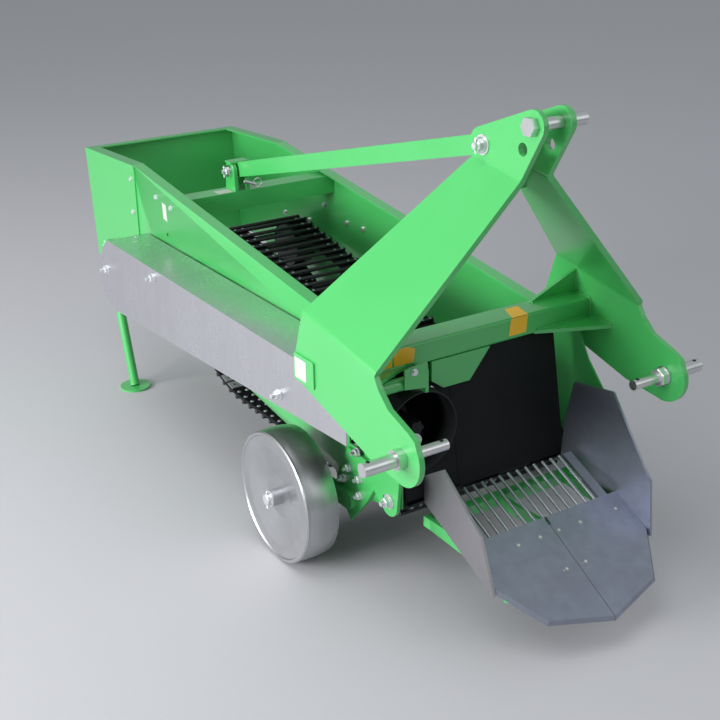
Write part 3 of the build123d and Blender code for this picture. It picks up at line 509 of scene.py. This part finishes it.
stacks("wall_bolts", SMALL_BOLT, on_walls(HOOD_FACE, HOOD_BOLTS) + on_walls(BOX_HALF, WALL_BOLTS), *ZINC)
stacks("inner_bolts", SMALL_BOLT, on_walls(WALL_INSIDE, INNER_BOLTS, inward=True), *ZINC)
stacks("side_plate_bolts", STUD_NUT, on_walls(SIDE_PLATE_FACE, SIDE_PLATE_BOLTS), *ZINC)
stacks("take_up_nuts", TAKE_UP_NUT, on_walls(TAKE_UP_FACE, (TAKE_UP_AXIS,)), *ZINC)
stacks("hub_nuts", HUB_NUT, on_walls(HUB_FACE, (WHEEL_CENTRE,)), *ZINC)
stacks("guard_nuts", GUARD_NUT, [(at(GUARD_FACE, y, z), TO_RIGHT) for y, z in GUARD_STUDS], *ZINC)
stay_nuts = [(at(-47, *STAY_FRONT), TO_RIGHT), (at(-30, *STAY_REAR), TO_RIGHT)]
stacks("stay_pin_nuts", STAY_NUT, stay_nuts, *ZINC)
stacks("stay_washers", STAY_WASHER, [(at(-39, *STAY_FRONT), TO_RIGHT)], *ZINC)
pin_nuts = [(at(side * (PLATE_IN - 5), 0, PIN_Z), (-side, 0, 0)) for side in (RIGHT, LEFT)]
stacks("lower_pin_nuts", LOWER_PIN_NUT, pin_nuts, *ZINC)
stacks("bracket_bolt", SMALL_BOLT, [(at(-180, BRACKET_FACE, 533), TO_FRONT)], *ZINC)

# Painted shade of holes: dark discs, sunk so far that only their tops show
pin_holes = []
for side in (RIGHT, LEFT):
    for reach, radius in ((PIN_END - 13, 14), (PLATE_IN - 78, 11)):
        pin_holes.append((at(side * reach, 0, PIN_Z + radius - 1.7), UP))
wall_hole = (at(side_x(RIGHT, BOX_HALF) + 1.5, 1324, 541), TO_RIGHT)
stacks("pin_holes", PIN_HOLE, pin_holes + [wall_hole], *HOLE_SHADE)


def split_pin(x, y, z, radius):
    """Wire through a pin of a radius along X: a loop above it and two bent ends below."""
    loop = [(0, 2), (-2, 5), (0, 8), (2, 5), (0, 2)]
    paths = [[at(x, y + dy, z + radius + dz) for dy, dz in loop]]
    for turn in (-1, 1):
        top, foot = z + radius + 2, z - radius - 2
        paths.append([at(x, y, top), at(x, y, foot), at(x + turn * 2, y + turn * 4, foot - 6)])
    return paths


wires = []
for side in (RIGHT, LEFT):
    wires += split_pin(side_x(side, AXLE_PIN), *WHEEL_CENTRE, 13)
wires += split_pin(-57, *STAY_FRONT, 7) + split_pin(-40, *STAY_REAR, 7)

# A spare pin that hangs by its ring in front of the stay's rear end
RING_R = 12
ring = []
for step in range(17):
    turn = step * math.pi / 8
    ring.append(at(42 + RING_R * math.cos(turn), 1238, 667 + RING_R * math.sin(turn)))
tube("split_pins", wires + [ring], 0.0016, *ZINC)
tube("hanging_pin", [[at(2, 1238, 676), at(34, 1238, 664)]], 0.0045, *ZINC)
stacks("eyelet", EYELET, [(at(-322, -17, 507), (-0.55, -0.75, 0.35))], *ZINC)

SHARE_TIP, SHARE_REAR = (-189, 74), (39, 198)           # ends of the share's top face, (y, z)
SHARE_BOLTS = [(x, 5) for x in (-98, -40, 11, 70, 171)] + [(x, -70) for x in (-31, 20)]
share_slope = math.atan2(SHARE_REAR[1] - SHARE_TIP[1], SHARE_REAR[0] - SHARE_TIP[0])
share_up = Vector((0, -math.sin(share_slope), math.cos(share_slope)))


def on_share(x, y):
    """A point on the share's top face, x from the channel's centre plane."""
    return at(BOX_X + x, y, SHARE_TIP[1] + (y - SHARE_TIP[0]) * math.tan(share_slope))


share_bolts = [(on_share(x, y), share_up) for x, y in SHARE_BOLTS]
share_keys = [(spot + share_up * 0.0003, facing) for spot, facing in share_bolts]
stacks("share_bolts", SUNK_BOLT, share_bolts, *DRAWN)
stacks("share_bolt_keys", SUNK_KEY, share_keys, *ZINC)


# ---------------------------------------------------------------- conveyor web
def rod_spots(node):
    """(y, z) of the middle of every rod in a node of rods along X, and the rods' two ends, in metres."""
    low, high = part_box(node)
    rods = []
    for vertex in nodes[node].data.vertices:
        if vertex.co.x > low.x + 0.0001:
            continue
        spot = (vertex.co.y, vertex.co.z)
        same = [rod for rod in rods if math.dist(spot, rod[0]) < 0.014]
        if same:
            same[0].append(spot)
        else:
            rods.append([spot])
    middles = []
    for rod in rods:
        ys, zs = zip(*rod)
        middles.append(((min(ys) + max(ys)) / 2, (min(zs) + max(zs)) / 2))
    return middles, low.x, high.x


def in_order(spots):
    """The (y, z) spots of a closed loop in order, each with the directions along and out of the loop."""
    left = list(spots)
    chain = [left.pop()]
    while left:
        nearest = min(left, key=lambda spot: math.dist(spot, chain[-1]))
        left.remove(nearest)
        chain.append(nearest)
    middle = Vector((sum(y for y, z in chain), sum(z for y, z in chain))) / len(chain)
    placed = []
    for before, here, after in zip(chain[-1:] + chain[:-1], chain, chain[1:] + chain[:1]):
        along = (Vector(after) - Vector(before)).normalized()
        out = Vector((-along.y, along.x))
        outward = Vector(here) - middle
        # the long strands lie above or below the loop's middle, its ends before or behind it
        aside = out.dot(outward) if abs(out.y) > 0.5 else out.x * outward.x
        if aside < 0:
            out = -out
        placed.append((here, Vector((0, *along)), Vector((0, *out))))
    return placed


ROD_CHAMFER = 1.2
web_spots, web_low, web_high = rod_spots("web_rods")
web_length = (web_high - web_low) * 1000
WEB_ROD = {
    "Tip": (16, ROD_R - ROD_CHAMFER, ROD_R, ROD_CHAMFER),
    "Bar": (16, ROD_R, ROD_R, web_length - 2 * ROD_CHAMFER),
    "End": (16, ROD_R, ROD_R - ROD_CHAMFER, ROD_CHAMFER),
}
web_places = [(Vector((web_low, y, z)), (1, 0, 0)) for y, z in web_spots]
rods = stacks("web_bars", WEB_ROD, web_places, *BLACK)
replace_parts(rods, "web_rods")

BELTS = {-192: (-20, 3), 0: (-12, 12), 192: (-3, 20)}   # belts' middles: their rivets' rows, from there
belt_spots = in_order(web_spots)
inside = (ROD_R + BELT + 0.2) / 1000                    # rods' axes to the belts' inner faces
rod_rivets = []
inner_rivets = []
for (y, z), along, out in belt_spots:
    for belt, rows in BELTS.items():
        for row in rows:
            spot = Vector((at(BOX_X + belt + row, 0, 0).x, y, z))
            rod_rivets.append((spot + out * (ROD_R - 0.4) / 1000, out))
            inner_rivets.append((spot - out * inside, -out))
stacks("rod_rivets", RIVET, rod_rivets, *DRAWN)
stacks("belt_rivets", BELT_RIVET, inner_rivets, *ZINC)

# The belts' ends are clamped together by plates on the lower strand.
JOINT = (1028, 1102)                                    # y
LOWER_STRAND = 0.3                                      # its highest z, metres
joint_plates = []
joint_holes = []
for (y, z), along, out in belt_spots:
    if z > LOWER_STRAND or not JOINT[0] < (y - HITCH.y) * 1000 < JOINT[1]:
        continue
    for belt in BELTS:
        middle = Vector((at(BOX_X + belt, 0, 0).x, y, z)) - out * inside
        wide, long = Vector((0.029, 0, 0)), along * 0.0145
        plate = [middle + wide + long, middle - wide + long, middle - wide - long, middle + wide - long]
        joint_plates.append((plate, -out))
        joint_holes += [(middle - out * 0.0024 + wide * way * 0.5, -out) for way in (-1, 1)]
slab("belt_joints", joint_plates, 0.0025, *ZINC)
# Dark discs on the joint plates: painted shade of their holes
stacks("belt_joint_holes", JOINT_HOLE, joint_holes, *HOLE_SHADE)


# ---------------------------------------------------------------- green trim
def rounded(y, z, wide, high, radius, x):
    """A rounded rectangle's outline at x, with its middle at (y, z)."""
    corners = ((1, 1, 0), (-1, 1, 90), (-1, -1, 180), (1, -1, 270))
    outline = []
    for across, up, start in corners:
        spot = (y + across * (wide / 2 - radius), z + up * (high / 2 - radius))
        for step in range(5):
            turn = math.radians(start + 22.5 * step)
            outline.append(at(x, spot[0] + radius * math.cos(turn), spot[1] + radius * math.sin(turn)))
    return outline


def trimmed(name, node, cuts):
    """A copy of a green node without what lies beyond each plane (point, normal), closed at the cuts."""
    shape = bmesh.new()
    shape.from_mesh(nodes[node].data)
    bmesh.ops.remove_doubles(shape, verts=shape.verts, dist=1e-6)
    for spot, normal in cuts:
        parts = shape.verts[:] + shape.edges[:] + shape.faces[:]
        cut = bmesh.ops.bisect_plane(shape, geom=parts, plane_co=spot, plane_no=normal, clear_outer=True)
        rim = [part for part in cut["geom_cut"] if isinstance(part, bmesh.types.BMEdge)]
        bmesh.ops.contextual_create(shape, geom=rim)
    return piece(name, mesh_from(name, shape), *GREEN)


# The right wall's nose ends at a slant, behind the front of the take-up and above its round end.
wall_nose = at(0, 214, 212)
nose_cuts = [(wall_nose, TO_FRONT), (wall_nose, Vector((0, -0.28, -1)).normalized())]
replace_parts(trimmed("side_wall_right_trimmed", "side_wall_right", nose_cuts), "side_wall_right")
# The share carrier's cross bar ends at its outer arm.
CARRIER_END = -142.5
carrier_cut = [(at(CARRIER_END, 0, 0), TO_RIGHT)]
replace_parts(trimmed("share_carrier_trimmed", "share_carrier", carrier_cut), "share_carrier")

SIGN_TAB = 4
tab_outline = rounded(346, 521, 78, 60, 5, -PLATE_OUT)
sign_tab = slab("sign_tab", [(tab_outline, TO_RIGHT)], SIGN_TAB / 1000, *GREEN)
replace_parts(sign_tab, "sign_plate")
cap = [at(x, y, 723) for x, y in ((-27, 1256), (27, 1256), (27, 1288), (-27, 1288))]
slab("stay_lug_cap", [(cap, UP)], 0.005, *GREEN)
brace = [at(x, 206, z) for x, z in ((-108, 864), (108, 864), (79, 896), (-79, 896))]
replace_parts(slab("mast_brace_plate", [(brace, TO_BACK)], 0.008, *GREEN), "mast_brace")


def bead(start, end, step=3.5, swing=0.35):
    """A weld's path from start to end, with a slight ripple."""
    start, end = Vector(start), Vector(end)
    count = max(2, round((end - start).length / step))
    spots = []
    for i in range(count + 1):
        spot = start.lerp(end, i / count)
        spots.append(at(*(spot + Vector((0, -1, 1)) * swing * (-1) ** i)))
    return spots


welds = []
for side in (RIGHT, LEFT):
    inner = side * PLATE_IN
    seams = (
        ((inner, BEAM_FRONT, BEAM_TOP), (inner, 304, BEAM_TOP)),
        ((inner, BEAM_FRONT, BEAM_LOW), (inner, BEAM_FRONT, BEAM_TOP)),
        ((inner, 162, GUSSET_Z), (inner, 232, GUSSET_Z)),
        ((side * 200, BEAM_BACK, BEAM_TOP), (side * 322, BEAM_BACK, BEAM_TOP)),
        ((side * 175, BEAM_FRONT, GUSSET_Z), (side * 320, BEAM_FRONT, GUSSET_Z)),
        ((inner, BEAM_BACK, 576), (inner, BEAM_BACK, 622)),
    )
    welds += [bead(start, end) for start, end in seams]
tube("welds", welds, 0.003, *GREEN)

# The face plate of the cone's bracket
bracket_face = [(-203, 541), (-148, 548), (-146, 541), (-146, 491), (-203, 499)]
face_outline = [at(x, BRACKET_FACE + 4, z) for x, z in bracket_face]
slab("bracket_face", [(face_outline, TO_FRONT)], 0.004, *GREEN)

# ---------------------------------------------------------------- painted shade: a black sheet round the cone, beside the curtain
CURTAIN_EDGE = -47
CURTAIN_TOP, CURTAIN_FOOT = (266, 522), (210, 226)      # (y, z) of the slanting curtain
# Painted shade: a black rubber sheet stands for the shadow in the gap between the cone, the cheek and the
# curtain
SHADE_SHEET_TOP, SHADE_SHEET_LOW = 521, 230
shade_sheet = [(CURTAIN_EDGE, SHADE_SHEET_TOP), (-100, SHADE_SHEET_TOP)]
for turn in range(60, -121, -12):
    angle = math.radians(turn)
    x = INPUT_AXIS[0] + (CONE_R + 3) * math.cos(angle)
    shade_sheet.append((x, INPUT_AXIS[2] + (CONE_R + 3) * math.sin(angle)))
shade_sheet += [(-186, 296), (-186, SHADE_SHEET_LOW), (CURTAIN_EDGE, SHADE_SHEET_LOW)]
curtain_slant = (CURTAIN_TOP[0] - CURTAIN_FOOT[0]) / (CURTAIN_TOP[1] - CURTAIN_FOOT[1])
shade_sheet_outline = [at(x, CURTAIN_TOP[0] - (CURTAIN_TOP[1] - z) * curtain_slant, z) for x, z in shade_sheet]
slab("painted_shade_sheet", [(shade_sheet_outline, (0, -1, 0.19))], 0.003, *RUBBER)

# ---------------------------------------------------------------- blank labels
LABEL = 0.0005                                          # thickness, metres
folded_top = [(107, BEAM_FRONT), (150, BEAM_FRONT), (163, BEAM_BACK + 1), (128, BEAM_BACK + 1)]
folded_front = [(104, 571), (150, 571), (146, 532), (99, 532)]
orange = [
    ([at(x, y, BEAM_TOP) for x, y in folded_top], UP),
    ([at(x, BEAM_FRONT, z) for x, z in folded_front], TO_FRONT),
]
house = ((-200, 562), (-173, 571), (-147, 562), (-150, 533), (-198, 533))
for shift in (0, -54):
    orange.append(([at(x + shift, BEAM_FRONT, z) for x, z in house], TO_FRONT))
slab("beam_labels", orange, LABEL, orange_label, "white_label")

on_right_wall = ((1346, 626), (1322, 623), (1318, 578), (1342, 581))
on_rear_beam = ((-68, 1250), (-26, 1250), (-26, 1284), (-68, 1284))
white = [
    ([at(side_x(RIGHT, BOX_HALF), y, z) for y, z in on_right_wall], TO_RIGHT),
    ([at(x, y, 649) for x, y in on_rear_beam], UP),
    (rounded(358, 520, 46, 46, 3, -PLATE_OUT - SIGN_TAB), TO_RIGHT),
]
slab("small_labels", white, LABEL, FINISHES["white_label"], "white_label")

# ---------------------------------------------------------------- studio, in metres
FLOOR_HALF = 30.0
floor_corners = [(x * FLOOR_HALF, y * FLOOR_HALF, 0.0) for x, y in ((-1, -1), (1, -1), (1, 1), (-1, 1))]
floor_mesh = bpy.data.meshes.new("floor")
floor_mesh.from_pydata(floor_corners, [], [(0, 1, 2, 3)])
floor_mesh.materials.append(flat_colour("pale_floor", (0.50, 0.495, 0.52), 0.75))
floor = bpy.data.objects.new("floor", floor_mesh)
bpy.context.scene.collection.objects.link(floor)

world = bpy.data.worlds.new("studio")
world.use_nodes = True
world.node_tree.nodes.clear()
bpy.context.scene.world = world
sky = Graph(world.node_tree)
direction = sky.node("ShaderNodeTexCoord", out=GENERATED)
height = sky.node("ShaderNodeSeparateXYZ", None, {0: direction}, out=2)
light = height.between(-0.05, 0.55, 0.16, 0.5)
background = sky.node("ShaderNodeBackground", None, {"Strength": light, "Color": (0.91, 0.965, 1.0, 1.0)})
sky.node("ShaderNodeOutputWorld", None, {"Surface": background})


def softbox(name, place, target, size, power):
    """An area lamp, wide and high, that points at a target."""
    data = bpy.data.lights.new(name, "AREA")
    data.shape = "RECTANGLE"
    data.size, data.size_y = size
    data.energy = power
    lamp = bpy.data.objects.new(name, data)
    lamp.location = place
    lamp.rotation_euler = (Vector(target) - Vector(place)).to_track_quat("-Z", "Y").to_euler()
    bpy.context.scene.collection.objects.link(lamp)


MIDDLE = (0.0, 0.0, 0.4)
softbox("key", (-4.8, 0.2, 1.45), MIDDLE, (3.6, 1.3), 310)
softbox("top", (-2.0, -0.6, 4.4), MIDDLE, (3.0, 3.0), 70)
softbox("fill", (2.2, -4.2, 2.6), MIDDLE, (3.0, 3.0), 22)

CAMERA_PLACE = at(-1511, -1691, 1523)
camera_data = bpy.data.cameras.new("camera")
camera_data.lens = 62.5
camera_data.sensor_width = 36.0
camera_data.shift_x = 0.0167
camera_data.shift_y = 0.0069
camera_data.clip_end = 100.0
camera = bpy.data.objects.new("camera", camera_data)
ahead = Vector((0.488, 0.781, -0.389)).normalized()
right = Vector((0.844, -0.536, -0.018))
right = (right - ahead * right.dot(ahead)).normalized()
turned = Matrix((right, right.cross(ahead), -ahead)).transposed().to_4x4()
camera.matrix_world = Matrix.Translation(CAMERA_PLACE) @ turned
bpy.context.scene.collection.objects.link(camera)
bpy.context.scene.camera = camera
bpy.context.scene.view_settings.view_transform = "Standard"
